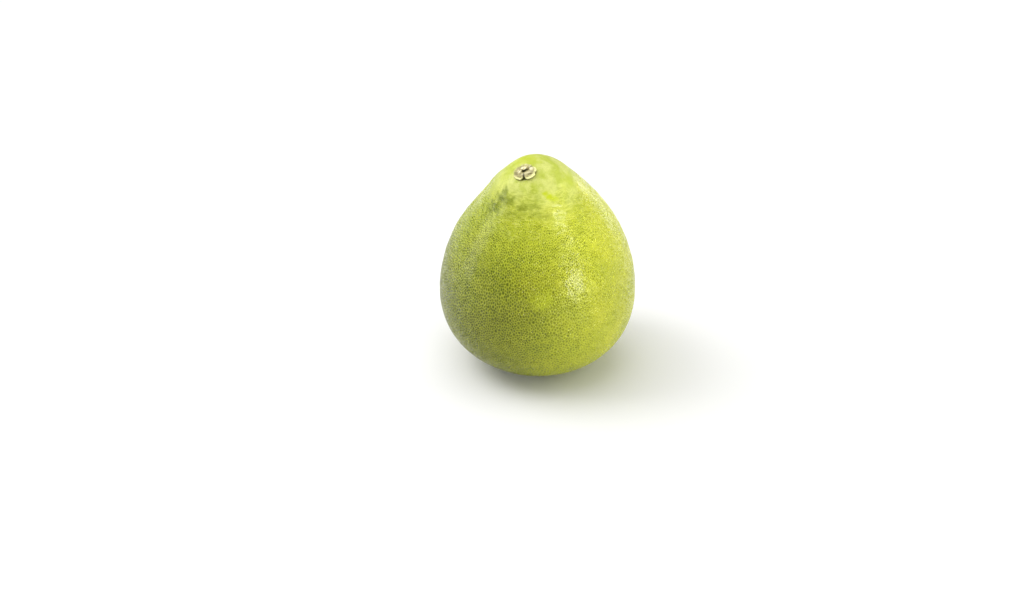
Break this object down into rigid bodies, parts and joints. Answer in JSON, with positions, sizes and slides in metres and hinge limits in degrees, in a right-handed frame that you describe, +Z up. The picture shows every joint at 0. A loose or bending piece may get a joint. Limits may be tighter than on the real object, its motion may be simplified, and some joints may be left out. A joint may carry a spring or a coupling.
{
  "type": "pomelo",
  "caption": "Whole green pear-shaped citrus fruit with a finely pitted rind and a lobed woody calyx on its leaning neck, resting on a small flat spot.",
  "frame": {"origin": "middle of the flat spot that the fruit rests on", "axes": "+Z up, from the resting spot towards the crown; -Y towards the side that the neck nods to, which faces the viewer; +X to the viewer's right"},
  "size_m": [0.1549, 0.1558, 0.1823],
  "materials": {
    "rind": "waxy yellow-green rind with fine darker oil glands, satin gloss",
    "calyx": "dry woody tissue, matt, pale straw to brown"
  },
  "bodies": {
    "root": {"fruit": "rind", "calyx": "calyx"}
  },
  "joints": []
}
